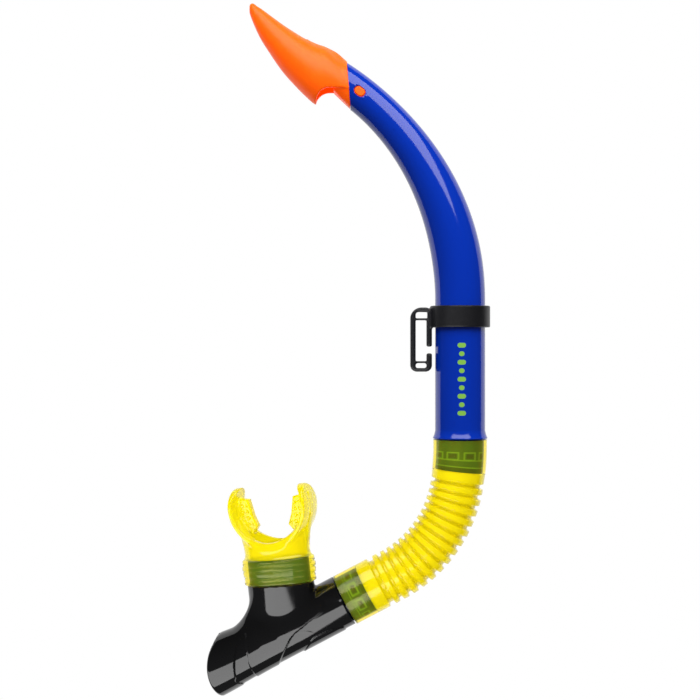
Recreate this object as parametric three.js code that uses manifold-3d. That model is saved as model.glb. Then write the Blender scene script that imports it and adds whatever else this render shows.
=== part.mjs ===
// A flex snorkel: a curved barrel with a splash guard, a corrugated drop-away hose,
// a Y-shaped lower chamber with a purge valve, an oval mouthpiece and a strap keeper.
// Millimetres, +Z up, +X away from the wearer's mouth. The origin is the middle of the keeper's strap slot.
import * as THREE from "three";
import { mergeVertices } from "three/addons/utils/BufferGeometryUtils.js";
import Module from "manifold-3d";

// ---------- driving dimensions ----------
const SIDES = 20; // facets round every tube
const CLEAR = 0.35; // gap between pieces that touch

// barrel: straight up from the skirt, then one long bend towards the wearer
const BARREL_X = 21.45; // its axis, from the middle of the strap slot
const BARREL_FOOT = -53.6; // lower edge of the skirt
const BEND_START = 22.5; // where the bend begins
const BEND_RADIUS = 143.5;
const BEND_ANGLE = 55;
const BARREL_RADIUS = 13.75;
const TIP_RADIUS = 10.04; // the barrel narrows towards its top
const TAPER_FROM = 8; // degrees along the bend
const TAPER_TO = 48;
const BARREL_WALL = 1.6;
const SKIRT_RADIUS = 15.05;
const SKIRT_HEIGHT = 4.8;
const END_TILT = -4.4; // the top is cut nearly upright, leaning this many degrees towards the wearer

// spigots that the hose is pulled over
const SPIGOT_RADIUS = 11.9;
const SPIGOT_TIP_RADIUS = 11.3;
const SPIGOT_BORE = 9.9;
const UPPER_SPIGOT = 17.3;
const LOWER_SPIGOT = 12.9;
const LUGS = 8;
const LUG_SIZE = [0.9, 4.6, 2.2]; // radial, round, along
const LUG_AT = 11.4; // middle of a lug from the axis

// hose: a smooth cuff at each end and rings between them
const HOSE_TOP = -54.2;
const CUFF_STRAIGHT = 3.5;
const CUFF_BEND = [127, 10.3]; // radius, degrees
const HOSE_BEND = [68.6, 52];
const HOSE_TAIL = 28.6; // the straight end, down to the chamber
const CUFF_RADIUS = 14.75;
const CUFF_BORE = 12.4;
const CREST_RADIUS = 14.5;
const VALLEY_RADIUS = 12.5;
const HOSE_BORE = 11.2;
const CREST_PITCH = 5.04;
const CREST_HALF = 1.0; // half the flat of a crest
const CREST_FOOT = 1.7; // half its width at the valley
const SEGMENTS = 6; // lengths of hose that turn against each other
const SEGMENT_GAP = 1.6;
const LOWER_CUFF = 20.8;

// chamber: a tube with an upward neck and a purge valve at its far end
const CHAMBER_SLOPE = 27.7; // degrees below level
const CHAMBER_LENGTH = 82.5;
const CHAMBER_RADIUS = 14.5;
const PURGE_RADIUS = 16.2; // the tube swells towards the purge end
const PURGE_LIFT = 0.8;
const CHAMBER_BORE = 12.3;
const NECK_AT = 36.8; // along the tube from the coupling
const NECK_LEAN = 6.2; // degrees from upright
const NECK_OVAL = [19.1, 13];
const MOUTH_TURN = -20; // the oval neck is turned about its own axis
const NECK_TOP = 26.75;
const MOUTH_SPIGOT = [16.7, 11.5];
const MOUTH_SPIGOT_TOP = 39.2;
const NECK_BORE = [14.4, 9.4];

// purge end, measured from the axis of its curved face
const PURGE_X = -90.1;
const PURGE_Z = -176;
const PURGE_FACE = 26.3; // radius of that face
const COVER_OVAL = [12.2, 14.2];
const COVER_Z = 0.6;
const VALVE_Z = 1.5;
const VALVE_BORE = 11.8;
const VALVE_OUT = -18.4;
const SEAT_X = -14.6;
const SEAT_THICK = 1.6;

// mouthpiece, measured along the neck
const COLLAR_TOP = 40.8;
const COLLAR_OVAL = [20.5, 14.3];
const FLANGE_CENTRE = 69.6;
const FLANGE_INNER = 20;
const FLANGE_OUTER = 23.2;
const FLANGE_HALF_HEIGHT = 10;
const FLANGE_TOP = 80.4;
const FLANGE_CORNER = 6; // its height seen from the side is rounded off at the tips
const TAB_THICK = 5;

// keeper: a ring on the barrel and a slotted hook for the mask strap
const KEEPER_RING = [14.15, 16.35]; // bore and outer radius
const RING_Z = [7.4, 19.2];
const HOOK_HALF_WIDTH = 5.9;
const HOOK_Z = [-16.9, 18.3];
const HOOK_CORNER = 3.6;
const HOOK_BAR = 2.9;
const HOOK_DEPTH = 8;
const SLOT_Z = [-11.1, 11.3];
const RIB = 1.1;
const HOOK_GAP = [-6.8, -3.2];

// ---------- solids ----------
const wasm = await Module();
wasm.setup();
const rad = THREE.MathUtils.degToRad;

// A closed three.js geometry as a solid, turned right side out.
function solid(geometry, matrix = new THREE.Matrix4()) {
  const bare = geometry.clone().applyMatrix4(matrix);
  bare.deleteAttribute("normal");
  bare.deleteAttribute("uv");
  const merged = mergeVertices(bare, 1e-3);
  const vertProperties = merged.attributes.position.array;
  const triVerts = new Uint32Array(merged.index.array);
  const make = () => new wasm.Manifold(new wasm.Mesh({ numProp: 3, vertProperties, triVerts }));
  const made = make();
  if (made.volume() > 0) return made;
  for (let i = 0; i < triVerts.length; i += 3) {
    const swap = triVerts[i + 1];
    triVerts[i + 1] = triVerts[i + 2];
    triVerts[i + 2] = swap;
  }
  return make();
}

const join = (...solids) => solids.reduce((a, b) => a.add(b));
const cut = (from, ...tools) => tools.reduce((a, b) => a.subtract(b), from);

function pose(x, y, z, lean = 0, turn = 0) {
  return new THREE.Matrix4()
    .makeTranslation(x, y, z)
    .multiply(new THREE.Matrix4().makeRotationY(rad(lean)))
    .multiply(new THREE.Matrix4().makeRotationZ(rad(turn)));
}

const box = (x, y, z, matrix) => solid(new THREE.BoxGeometry(x, y, z), matrix);

// A named mesh of a solid.
function piece(name, body, look) {
  const { vertProperties, triVerts, numProp } = body.getMesh();
  const positions = new Float32Array((vertProperties.length / numProp) * 3);
  for (let i = 0; i < positions.length / 3; i++) {
    positions.set(vertProperties.subarray(i * numProp, i * numProp + 3), i * 3);
  }
  const geometry = new THREE.BufferGeometry();
  geometry.setAttribute("position", new THREE.BufferAttribute(positions, 3));
  geometry.setIndex(new THREE.BufferAttribute(triVerts, 1));
  geometry.computeVertexNormals();
  const mesh = new THREE.Mesh(geometry, look);
  mesh.name = name;
  return mesh;
}

// A centreline in the XZ plane: stretches of [length, turn in degrees] from a point and a heading.
function centreline(x, z, heading, stretches) {
  return (s) => {
    let px = x;
    let pz = z;
    let h = rad(heading);
    let left = s;
    for (const [i, [length, turn]] of stretches.entries()) {
      const last = i === stretches.length - 1;
      const part = last ? left : Math.min(left, length);
      const bend = (rad(turn) * part) / length;
      const chord = Math.abs(bend) < 1e-9 ? part : (part * Math.sin(bend / 2)) / (bend / 2);
      px += chord * Math.cos(h + bend / 2);
      pz += chord * Math.sin(h + bend / 2);
      h += bend;
      left -= part;
      if (left <= 0) break;
    }
    return {
      point: new THREE.Vector3(px, 0, pz),
      along: new THREE.Vector3(Math.cos(h), 0, Math.sin(h)),
      side: new THREE.Vector3(-Math.sin(h), 0, Math.cos(h)),
    };
  };
}

// A lathed profile of [radius, distance] pairs, carried along a centreline.
function bentLathe(profile, line) {
  const closed = [...profile, profile[0]].map(([r, s]) => new THREE.Vector2(r, s));
  const geometry = new THREE.LatheGeometry(closed, SIDES);
  const at = geometry.attributes.position;
  const vertex = new THREE.Vector3();
  for (let i = 0; i < at.count; i++) {
    vertex.fromBufferAttribute(at, i);
    const { point, side } = line(vertex.y);
    point.addScaledVector(side, vertex.x);
    at.setXYZ(i, point.x, vertex.z, point.z);
  }
  return solid(geometry);
}

// A closed loft through ovals: stations of { at, x, z, a, b }, placed by place(station, cos, sin).
function loft(stations, place, matrix) {
  const rows = stations.length - 1;
  const geometry = new THREE.CylinderGeometry(1, 1, rows, SIDES, rows);
  const at = geometry.attributes.position;
  for (let i = 0; i < at.count; i++) {
    const station = stations[Math.round(at.getY(i) + rows / 2)];
    at.setXYZ(i, ...place(station, at.getX(i), at.getZ(i)));
  }
  return solid(geometry, matrix);
}

// Ovals stacked along Z: stations of [z, half width in X, half width in Y, middle in X].
function ovalStack(stations, matrix) {
  return loft(stations, ([z, a, b, middle = 0], c, s) => [middle + a * c, b * s, z], matrix);
}

const prism = (points, depth, matrix) =>
  solid(
    new THREE.ExtrudeGeometry(new THREE.Shape(points.map(([x, y]) => new THREE.Vector2(x, y))), {
      depth,
      bevelEnabled: false,
      curveSegments: 6,
    }),
    matrix,
  );

// Stands a shape drawn in X and Z, with its thickness centred on Y = 0.
const standing = (depth) =>
  new THREE.Matrix4().makeRotationX(Math.PI / 2).setPosition(0, depth / 2, 0);

// A rectangle with rounded corners, drawn anticlockwise.
function roundedFrame(x0, x1, z0, z1, r) {
  const shape = new THREE.Shape();
  shape.moveTo(x0 + r, z0);
  shape.lineTo(x1 - r, z0).absarc(x1 - r, z0 + r, r, -Math.PI / 2, 0);
  shape.lineTo(x1, z1 - r).absarc(x1 - r, z1 - r, r, 0, Math.PI / 2);
  shape.lineTo(x0 + r, z1).absarc(x0 + r, z1 - r, r, Math.PI / 2, Math.PI);
  shape.lineTo(x0, z0 + r).absarc(x0 + r, z0 + r, r, Math.PI, 1.5 * Math.PI);
  return shape;
}

const smooth = (x) => x * x * (3 - 2 * x);
const clamp = THREE.MathUtils.clamp;

// ---------- looks ----------
const look = (color, roughness, extra = {}) =>
  new THREE.MeshStandardMaterial({ color, roughness, metalness: 0, ...extra });
const blue = look(0x0037b9, 0.25);
const orange = look(0xff640a, 0.4);
const black = look(0x19191e, 0.2);
const satinBlack = look(0x1c1c1e, 0.45);
const yellow = look(0xf0e100, 0.25, { transparent: true, opacity: 0.75 });
const clearValve = look(0xdcdcd2, 0.4, { transparent: true, opacity: 0.8 });

const snorkel = new THREE.Group();

// ---------- barrel ----------
const STRAIGHT = BEND_START - BARREL_FOOT;
const BEND_LENGTH = BEND_RADIUS * rad(BEND_ANGLE);
const barrelLine = centreline(BARREL_X, BARREL_FOOT, 90, [
  [STRAIGHT, 0],
  [BEND_LENGTH, BEND_ANGLE],
]);

function barrelRadius(s) {
  const angle = ((s - STRAIGHT) / BEND_LENGTH) * BEND_ANGLE;
  const taper = smooth(clamp((angle - TAPER_FROM) / (TAPER_TO - TAPER_FROM), 0, 1));
  return BARREL_RADIUS + (TIP_RADIUS - BARREL_RADIUS) * taper;
}

const stops = (from, to, count) =>
  Array.from({ length: count + 1 }, (_, i) => from + ((to - from) * i) / count);

// Everything on the far side of the slanting cut at the barrel's top.
const barrelTop = barrelLine(STRAIGHT + BEND_LENGTH).point;
const beyondTop = (offset) =>
  box(200, 200, 200, pose(barrelTop.x, 0, barrelTop.z, END_TILT).multiply(pose(-100 + offset, 0, 0)));

const STUD = [3, 2.15]; // half its length and width
const STUD_AT = STRAIGHT + BEND_RADIUS * rad(52);
// An oval pin through the tube wall on both sides, long along the tube.
function studPin(halfLong, halfWide, reach) {
  const { point, along } = barrelLine(STUD_AT);
  const pin = new THREE.CylinderGeometry(1, 1, 2 * reach, 12).scale(halfLong, 1, halfWide);
  const tilt = THREE.MathUtils.radToDeg(Math.atan2(-along.z, along.x));
  return solid(pin, pose(point.x, 0, point.z, tilt));
}

function lugs(radius, matrix) {
  const round = Array.from({ length: LUGS }, (_, i) => (360 * (i + 0.5)) / LUGS);
  return round.map((turn) =>
    box(...LUG_SIZE, matrix.clone().multiply(pose(0, 0, 0, 0, turn)).multiply(pose(radius, 0, 0))),
  );
}

function makeBarrel() {
  const over = STRAIGHT + BEND_LENGTH + 14;
  const bends = stops(STRAIGHT, over, 13);
  const outside = bends.map((s) => [barrelRadius(s), s]);
  const inside = bends.map((s) => [barrelRadius(s) - BARREL_WALL, s]).reverse();
  const wall = bentLathe(
    [
      [SPIGOT_TIP_RADIUS, -UPPER_SPIGOT],
      [SPIGOT_RADIUS, -0.2],
      [12.6, 0],
      [SKIRT_RADIUS, 0],
      [14.3, 2.2],
      [BARREL_RADIUS, SKIRT_HEIGHT],
      ...outside,
      ...inside,
      [BARREL_RADIUS - BARREL_WALL, 6],
      [SPIGOT_BORE, 2],
      [SPIGOT_BORE, -UPPER_SPIGOT],
    ],
    barrelLine,
  );
  const upright = pose(BARREL_X, 0, BARREL_FOOT - 9.1);
  const body = join(wall, ...lugs(LUG_AT, upright));
  return cut(body, beyondTop(0), studPin(STUD[0] + CLEAR, STUD[1] + CLEAR, 14));
}

// ---------- splash guard ----------
// Upright sections of the hood: [X, top, bottom, half width].
const HOOD = [
  [-36, 149, 126.6, 8.6],
  [-40.6, 153.3, 127.2, 9.9],
  [-46.6, 158.4, 128, 11.6],
  [-52, 160.6, 129, 12.6],
  [-58, 162.6, 130, 12.8],
  [-63.3, 165.2, 134.5, 12.4],
  [-69.3, 168.6, 140.5, 11.4],
  [-76.5, 173.2, 148.8, 9.4],
  [-83, 178, 158.3, 7],
  [-89.5, 182.5, 169.1, 4.2],
  [-93.1, 184.4, 177.6, 1.9],
  [-93.9, 183, 180.6, 0.6],
];
const HOOD_WALL = 1.6;
const PLUG_LENGTH = 16; // inside the barrel
const PLUG_BORE = 6.4;
const COLLAR_REACH = 8.5; // of the guard's own tube, past the cut
// The air inlet under the hood: what is cut away below its arched edge.
const INLET = [
  [-57.6, 120],
  [-57.6, 130.8],
  [-56.2, 133.6],
  [-53.4, 136.2],
  [-49.5, 137.5],
  [-34, 137.6],
  [-34, 120],
];

function hoodLoft(sections) {
  return loft(sections, ([x, top, bottom, half], c, s) => {
    const middle = (top + bottom) / 2;
    return [x, half * s, middle + ((top - bottom) / 2) * c];
  });
}

function makeSplashGuard() {
  const shell = hoodLoft(HOOD);
  const hollow = hoodLoft(
    HOOD.slice(0, -2).map(([x, top, bottom, half]) => [
      x,
      top - HOOD_WALL,
      bottom + HOOD_WALL,
      Math.max(half - HOOD_WALL, 0.5),
    ]),
  );
  const inlet = prism(INLET, 60, standing(60));
  const base = STRAIGHT + BEND_LENGTH;
  const rod = (radius, from, to) => {
    const steps = stops(from, to, 6);
    return bentLathe([[0, from], ...steps.map((s) => [radius, s]), [0, to]], barrelLine);
  };
  const collar = rod(TIP_RADIUS, base - 14, base + 18).intersect(beyondTop(-CLEAR));
  const plug = rod(TIP_RADIUS - BARREL_WALL - CLEAR, base - PLUG_LENGTH, base + 18);
  const bore = rod(PLUG_BORE, base - PLUG_LENGTH - 1, base + 20);
  const inside = beyondTop(-COLLAR_REACH);
  const hood = cut(shell, inlet, hollow).intersect(beyondTop(-CLEAR));
  const studs = studPin(STUD[0], STUD[1], TIP_RADIUS + 0.25);
  return cut(join(hood, cut(join(collar, plug), inside), studs), bore);
}

// ---------- hose ----------
const CUFF_ARC = CUFF_BEND[0] * rad(CUFF_BEND[1]);
const HOSE_ARC = HOSE_BEND[0] * rad(HOSE_BEND[1]);
const hoseLine = centreline(BARREL_X, HOSE_TOP, 270, [
  [CUFF_STRAIGHT, 0],
  [CUFF_ARC, -CUFF_BEND[1]],
  [HOSE_ARC, -HOSE_BEND[1]],
  [HOSE_TAIL, 0],
]);
const FIRST_CREST = CUFF_STRAIGHT + CUFF_ARC;
const FIRST_HINGE = FIRST_CREST + CREST_PITCH / 2;
const HOSE_END = FIRST_CREST + HOSE_ARC + HOSE_TAIL;
const LAST_CREST = FIRST_CREST + CREST_PITCH * (2 * SEGMENTS + 1);

const crest = (at) => [
  [VALLEY_RADIUS, at - CREST_FOOT],
  [CREST_RADIUS, at - CREST_HALF],
  [CREST_RADIUS, at + CREST_HALF],
  [VALLEY_RADIUS, at + CREST_FOOT],
];

function makeUpperCuff() {
  const end = FIRST_HINGE - SEGMENT_GAP / 2;
  return bentLathe(
    [
      [CUFF_RADIUS, 0],
      [CUFF_RADIUS, CUFF_STRAIGHT],
      [CUFF_RADIUS, 10],
      [CUFF_RADIUS, 16],
      [CREST_RADIUS, FIRST_CREST - 3.6],
      [VALLEY_RADIUS, FIRST_CREST - 2.6],
      ...crest(FIRST_CREST),
      [VALLEY_RADIUS, end],
      [HOSE_BORE, end],
      [HOSE_BORE, 19],
      [CUFF_BORE, 18],
      [CUFF_BORE, 9],
      [CUFF_BORE, 0],
    ],
    hoseLine,
  );
}

function makeSegment(number) {
  const from = FIRST_HINGE + 2 * CREST_PITCH * (number - 1);
  const to = from + 2 * CREST_PITCH;
  return bentLathe(
    [
      [VALLEY_RADIUS, from + SEGMENT_GAP / 2],
      ...crest(from + CREST_PITCH / 2),
      ...crest(to - CREST_PITCH / 2),
      [VALLEY_RADIUS, to - SEGMENT_GAP / 2],
      [HOSE_BORE, to - SEGMENT_GAP / 2],
      [HOSE_BORE, (from + to) / 2],
      [HOSE_BORE, from + SEGMENT_GAP / 2],
    ],
    hoseLine,
  );
}

function makeLowerCuff() {
  const start = LAST_CREST - CREST_PITCH / 2 + SEGMENT_GAP / 2;
  return bentLathe(
    [
      [VALLEY_RADIUS, start],
      ...crest(LAST_CREST),
      [VALLEY_RADIUS, LAST_CREST + 2.6],
      [CREST_RADIUS, HOSE_END - LOWER_CUFF],
      [CREST_RADIUS, HOSE_END],
      [CUFF_BORE, HOSE_END],
      [CUFF_BORE, HOSE_END - LOWER_SPIGOT - 0.6],
      [HOSE_BORE, HOSE_END - LOWER_SPIGOT - 1.6],
      [HOSE_BORE, start],
    ],
    hoseLine,
  );
}

// ---------- chamber ----------
// Its own frame: the coupling face at the origin, the tube running along -X, the neck on +Z.
const coupling = hoseLine(HOSE_END).point;
const neckPose = pose(-NECK_AT, 0, 0, CHAMBER_SLOPE - NECK_LEAN);
const mouthPose = neckPose.clone().multiply(pose(0, 0, 0, 0, MOUTH_TURN));
// World axes again, from the axis of the curved purge face.
const purgePose = pose(0, 0, 0, CHAMBER_SLOPE).multiply(
  pose(PURGE_X - coupling.x, 0, PURGE_Z - coupling.z),
);

// Round sections along -X: stations of [x, radius, middle in Z].
function tube(stations) {
  return loft(stations, ([x, r, middle = 0], c, s) => [x, r * s, middle + r * c]);
}

function purgeCylinder(radius, depth) {
  return solid(new THREE.CylinderGeometry(radius, radius, depth, 48), purgePose);
}

// An oval rod along X, in the purge frame.
function ovalRod([halfY, halfZ], from, to, z) {
  const rod = new THREE.CylinderGeometry(1, 1, to - from, 24);
  rod.rotateZ(Math.PI / 2).scale(1, halfY, halfZ).translate((from + to) / 2, 0, z);
  return solid(rod, purgePose);
}

function makeChamber() {
  const body = tube([
    [-0.4, CHAMBER_RADIUS],
    [-50, CHAMBER_RADIUS],
    [-66, 15.2, 0.4],
    [-82, PURGE_RADIUS, PURGE_LIFT],
    [-100, PURGE_RADIUS, PURGE_LIFT],
  ]);
  const rounded = body.intersect(join(purgeCylinder(PURGE_FACE, 60), box(76, 60, 60, pose(-20, 0, 0))));
  const spigot = tube([
    [-1, SPIGOT_RADIUS],
    [LOWER_SPIGOT, SPIGOT_TIP_RADIUS],
  ]);
  const upright = pose(7, 0, 0, 90);
  const neck = ovalStack([[4, ...NECK_OVAL], [NECK_TOP, ...NECK_OVAL]], mouthPose);
  const fillet = ovalStack(
    [
      [0, 23.6, 13.2, -7.2],
      [5.3, 22, 13.2, -5.2],
      [10.2, 19.7, 13.1, -2.9],
      [16.6, 18.2, 13, -0.9],
      [23.6, 17.8, 12.9, -0.3],
    ],
    neckPose,
  );
  const mouthSpigot = ovalStack([[20, ...MOUTH_SPIGOT], [MOUTH_SPIGOT_TOP, ...MOUTH_SPIGOT]], mouthPose);
  const outside = join(
    rounded,
    spigot,
    ...lugs(LUG_AT, upright),
    neck,
    fillet,
    mouthSpigot,
  );
  const bore = tube([
    [-68, CHAMBER_BORE],
    [-1.5, CHAMBER_BORE],
    [-0.5, SPIGOT_BORE],
    [LOWER_SPIGOT + 1, SPIGOT_BORE],
  ]);
  const neckBore = ovalStack([[2, ...NECK_BORE], [MOUTH_SPIGOT_TOP + 1, ...NECK_BORE]], mouthPose);
  const valveBore = ovalRod([VALVE_BORE, VALVE_BORE], VALVE_OUT - 1, -8, VALVE_Z);
  const coverSeat = ovalRod(
    COVER_OVAL.map((half) => half + CLEAR),
    -PURGE_FACE - 4,
    VALVE_OUT,
    COVER_Z,
  );
  return cut(outside, bore, neckBore, valveBore, coverSeat);
}

// ---------- purge valve ----------
function disc(radius, from, to, holes = []) {
  const shape = new THREE.Shape().absarc(0, 0, radius, 0, 2 * Math.PI);
  for (const [y, z, r] of holes) {
    shape.holes.push(new THREE.Path().absarc(y, z, r, 0, 2 * Math.PI));
  }
  const plate = new THREE.ExtrudeGeometry(shape, {
    depth: to - from,
    bevelEnabled: false,
    curveSegments: 8,
  });
  plate.rotateY(Math.PI / 2).translate(from, 0, VALVE_Z);
  return solid(plate, purgePose);
}

const PORTS = 5;
function makePurgeSeat() {
  const ports = stops(0, 2 * Math.PI, PORTS)
    .slice(1)
    .map((a) => [6.4 * Math.cos(a), 6.4 * Math.sin(a), 2.7]);
  return disc(VALVE_BORE - CLEAR, SEAT_X, SEAT_X + SEAT_THICK, [[0, 0, 1.4], ...ports]);
}

function makeDiaphragm() {
  const face = SEAT_X - CLEAR;
  return join(
    disc(10.3, face - 0.8, face),
    disc(1.0, face - 0.2, SEAT_X + SEAT_THICK + 2.6),
    disc(1.9, SEAT_X + SEAT_THICK + 1.9, SEAT_X + SEAT_THICK + 3.4),
  );
}

const VENTS = 5;
function makePurgeCover() {
  const shell = cut(purgeCylinder(PURGE_FACE - 0.3, 40), purgeCylinder(PURGE_FACE - 1.9, 42));
  const plate = shell.intersect(ovalRod(COVER_OVAL, -PURGE_FACE - 4, -10, COVER_Z));
  const vents = stops(-8.8, 8.8, VENTS - 1).map((z) => {
    const reach = COVER_OVAL[0] * Math.sqrt(1 - (z / COVER_OVAL[1]) ** 2) - 2.6;
    return box(20, 2 * reach, 2.2, purgePose.clone().multiply(pose(-PURGE_FACE, 0, COVER_Z + z)));
  });
  return cut(plate, ...vents);
}

// ---------- mouthpiece ----------
// Along the neck: [distance, half length, half width] of the collar, its ribs and the neck of the lip shield.
const COLLAR_OUTSIDE = [
  [NECK_TOP + CLEAR, ...COLLAR_OVAL],
  [COLLAR_TOP, 20.3, 14.1],
  [COLLAR_TOP + 0.6, 19.5, 13.3],
  [46.9, 19, 12.6],
  [51, 19.8, 11.4],
  [56, 20.8, 10.4],
];
const COLLAR_INSIDE = [
  [NECK_TOP - 1, MOUTH_SPIGOT[0] + CLEAR, MOUTH_SPIGOT[1] + CLEAR],
  [MOUTH_SPIGOT_TOP + CLEAR, MOUTH_SPIGOT[0] + CLEAR, MOUTH_SPIGOT[1] + CLEAR],
  [MOUTH_SPIGOT_TOP + 1.4, 14.6, 9.4],
  [48, 13.5, 8],
  [60, 13.5, 7],
];
// One bite tab, seen from the side: [across, along].
const TAB = [
  [22.3, 75],
  [13.3, 73.4],
  [11.6, 64],
  [9.4, 58.6],
  [12.8, 54.6],
  [19, 56],
  [22.3, 64],
];

// The lip shield's outline seen from its end, carried across the whole mouthpiece.
function flangeFace() {
  const h = FLANGE_HALF_HEIGHT;
  const outline = roundedFrame(-h, h, FLANGE_CENTRE - 40, FLANGE_TOP, FLANGE_CORNER);
  const across = mouthPose.clone().multiply(pose(0, 0, 0, 0, 90)).multiply(standing(70));
  return solid(
    new THREE.ExtrudeGeometry(outline, { depth: 70, bevelEnabled: false, curveSegments: 5 }),
    across,
  );
}

function makeMouthpiece() {
  const opening = (radius) => Math.asin((FLANGE_TOP - FLANGE_CENTRE) / radius);
  const outer = opening(FLANGE_OUTER);
  const inner = opening(FLANGE_INNER);
  const crescent = new THREE.Shape()
    .absarc(0, FLANGE_CENTRE, FLANGE_OUTER, outer, Math.PI - outer, true)
    .absarc(0, FLANGE_CENTRE, FLANGE_INNER, Math.PI - inner, inner, false);
  const depth = 2 * FLANGE_HALF_HEIGHT;
  const stand = (deep) => mouthPose.clone().multiply(standing(deep));
  const flange = solid(
    new THREE.ExtrudeGeometry(crescent, { depth, bevelEnabled: false, curveSegments: 14 }),
    stand(depth),
  ).intersect(flangeFace());
  const scoop = new THREE.CylinderGeometry(FLANGE_INNER, FLANGE_INNER, 60, 36);
  const neck = cut(
    ovalStack(COLLAR_OUTSIDE, mouthPose),
    solid(scoop, mouthPose.clone().multiply(pose(0, 0, FLANGE_CENTRE))),
  );
  const tabs = [-1, 1].map((hand) =>
    prism(
      TAB.map(([across, along]) => [hand * across, along]),
      TAB_THICK,
      stand(TAB_THICK),
    ),
  );
  return cut(join(neck, flange, ...tabs), ovalStack(COLLAR_INSIDE, mouthPose));
}

// ---------- keeper ----------
function makeKeeper() {
  const [z0, z1] = HOOK_Z;
  const w = HOOK_HALF_WIDTH;
  const frame = roundedFrame(-w, w, z0, z1, HOOK_CORNER);
  const windows = [
    [z0 + 2, SLOT_Z[0] - RIB, 1.4],
    [...SLOT_Z, 0.6],
    [SLOT_Z[1] + RIB, z1 - 2.2, 1.6],
  ];
  for (const [from, to, r] of windows) {
    frame.holes.push(roundedFrame(HOOK_BAR - w, w - HOOK_BAR, from, to, r));
  }
  const hook = solid(
    new THREE.ExtrudeGeometry(frame, { depth: HOOK_DEPTH, bevelEnabled: false, curveSegments: 4 }),
    standing(HOOK_DEPTH),
  );
  const [gapFrom, gapTo] = HOOK_GAP;
  const gap = box(6, 20, gapTo - gapFrom, pose(w, 0, (gapFrom + gapTo) / 2));
  const [bore, outside] = KEEPER_RING;
  const [low, high] = RING_Z;
  const ringLine = centreline(BARREL_X, 0, 90, [[1, 0]]);
  const ring = bentLathe(
    [
      [bore, low],
      [outside - 0.5, low],
      [outside, low + 0.5],
      [outside, high - 0.5],
      [outside - 0.5, high],
      [bore, high],
    ],
    ringLine,
  );
  return join(cut(hook, gap), ring);
}

// ---------- assembly ----------
snorkel.add(piece("keeper_clip", makeKeeper(), satinBlack));
snorkel.add(piece("barrel", makeBarrel(), blue));
snorkel.add(piece("splash_guard", makeSplashGuard(), orange));

const hose = new THREE.Group();
hose.add(piece("hose_upper_cuff", makeUpperCuff(), yellow));
for (let number = 1; number <= SEGMENTS; number++) {
  hose.add(piece(`hose_segment_${number}`, makeSegment(number), yellow));
}
hose.add(piece("hose_lower_cuff", makeLowerCuff(), yellow));
snorkel.add(hose);

const chamber = new THREE.Group();
chamber.position.copy(coupling);
chamber.rotation.y = rad(-CHAMBER_SLOPE);
chamber.add(piece("chamber", makeChamber(), black));
chamber.add(piece("mouthpiece", makeMouthpiece(), yellow));
chamber.add(piece("purge_seat", makePurgeSeat(), black));
chamber.add(piece("purge_diaphragm", makeDiaphragm(), clearValve));
chamber.add(piece("purge_cover", makePurgeCover(), black));
snorkel.add(chamber);

export default snorkel;
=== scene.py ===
"""A flex snorkel: strap keeper, curved barrel with a splash guard, corrugated silicone hose,
Y-shaped purge chamber and oval mouthpiece. Shapes are worked out in millimetres and set down in metres.
X points away from the wearer's mouth, Y to the back and Z up; the origin is the middle of the
keeper's strap slot."""

from itertools import product
from math import cos, pi, radians, sin

import bpy
import numpy as np
from mathutils import Matrix, Vector


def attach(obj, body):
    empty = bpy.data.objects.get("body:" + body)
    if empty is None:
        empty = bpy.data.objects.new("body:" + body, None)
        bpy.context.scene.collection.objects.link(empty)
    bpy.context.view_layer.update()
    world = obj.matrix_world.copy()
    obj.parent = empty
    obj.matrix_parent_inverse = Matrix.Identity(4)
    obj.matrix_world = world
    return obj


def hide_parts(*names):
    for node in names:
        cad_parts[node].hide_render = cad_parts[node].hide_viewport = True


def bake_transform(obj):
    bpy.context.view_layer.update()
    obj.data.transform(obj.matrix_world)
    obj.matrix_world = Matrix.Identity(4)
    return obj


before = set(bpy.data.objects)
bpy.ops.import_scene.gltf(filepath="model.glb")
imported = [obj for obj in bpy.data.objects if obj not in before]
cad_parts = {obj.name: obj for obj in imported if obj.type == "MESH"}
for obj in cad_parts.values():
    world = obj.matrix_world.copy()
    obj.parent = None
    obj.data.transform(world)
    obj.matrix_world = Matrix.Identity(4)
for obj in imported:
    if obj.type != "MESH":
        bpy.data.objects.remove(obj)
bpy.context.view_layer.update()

# ---------- studio ----------
# A white cove lit by two big soft panels in front of the object, one over it and one under it.
# The camera stands level with the object's middle.
scene = bpy.context.scene
scene.view_settings.view_transform = "Standard"

camera = bpy.data.objects.new("camera", bpy.data.cameras.new("camera"))
camera.data.lens, camera.data.sensor_width = 85, 36
camera.location = (-0.039, -0.9075, -0.005)
camera.rotation_euler = (pi / 2, 0, 0)
scene.collection.objects.link(camera)
scene.camera = camera


def panel_light(name, corner, wide, deep, slope, radiance):
    """A soft panel whose near edge runs along X from corner; it goes back and away from the camera by
    deep, rising by slope for each metre back. Its power is radiance times pi times its area."""
    down_facing = 1 if slope > 0 else -1
    across = Vector((1, 0, 0))
    back = Vector((0, 1, slope)).normalized()
    face = across.cross(back) * -down_facing
    light = bpy.data.lights.new(name, "AREA")
    light.shape, light.size, light.size_y = "RECTANGLE", wide, deep
    light.energy = radiance * pi * wide * deep
    lamp = bpy.data.objects.new(name, light)
    middle = Vector(corner) + across * wide / 2 + back * deep / 2
    lamp.matrix_world = Matrix.Translation(middle) @ Matrix(
        [across, back * down_facing, -face]
    ).transposed().to_4x4()
    lamp.visible_camera = False
    lamp.light_linking.receiver_collection = bpy.data.collections.new(name + "_flagged_off")
    scene.collection.objects.link(lamp)
    return lamp.light_linking.receiver_collection


def flag_off(pieces, receivers):
    """Keeps one panel's light off some pieces, as a studio's black flag does."""
    for piece in pieces:
        receivers.objects.link(piece)
    for row in receivers.collection_objects:
        row.light_linking.link_state = "EXCLUDE"


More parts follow.
